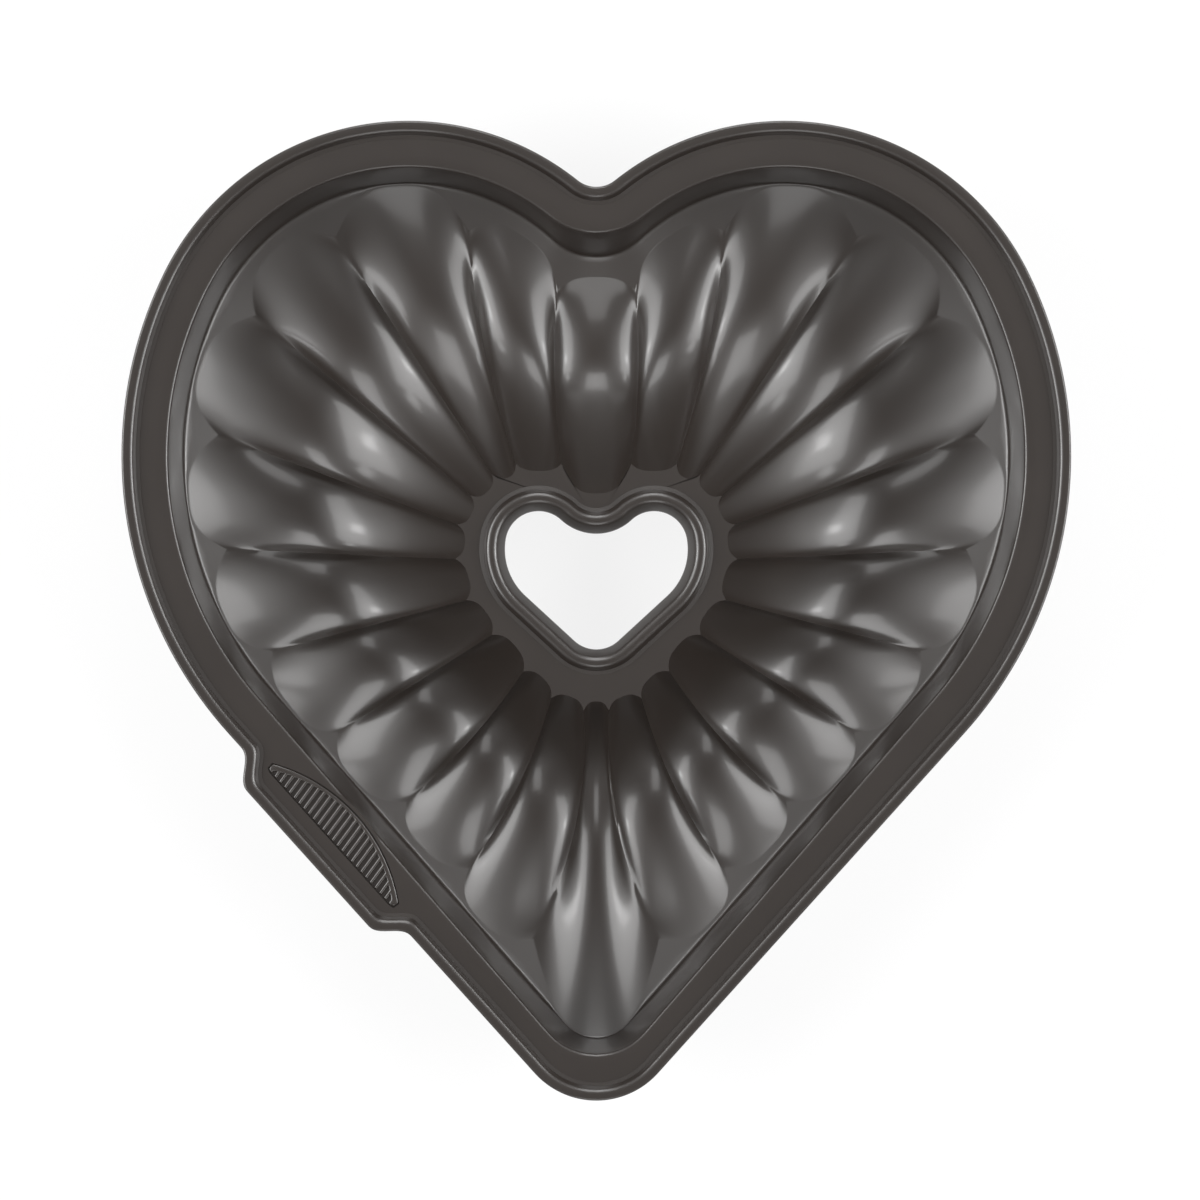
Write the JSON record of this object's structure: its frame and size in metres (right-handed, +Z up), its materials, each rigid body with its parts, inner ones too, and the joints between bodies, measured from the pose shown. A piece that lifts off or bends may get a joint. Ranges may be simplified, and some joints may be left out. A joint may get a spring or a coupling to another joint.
{
  "type": "cake pan",
  "caption": "Heart-shaped silicone cake pan with fluted petals round a heart-shaped chimney hole, wire-stiffened beads and a ribbed grip tab.",
  "frame": {"origin": "on the surface the pan stands on, under the middle of its outline", "axes": "+Z up out of the opening, +Y from the tip of the heart to its cleft, +X to the right seen from above"},
  "size_m": [0.24, 0.2476, 0.038],
  "materials": {
    "silicone": "satin",
    "steel_wire": "satin"
  },
  "bodies": {
    "root": {"pan_body": "silicone", "rim_bead": "silicone", "rim_wire": "steel_wire", "rim_wire_sleeve": "steel_wire", "hole_bead": "silicone", "hole_wire": "steel_wire", "grip_pad": "silicone"}
  },
  "joints": []
}
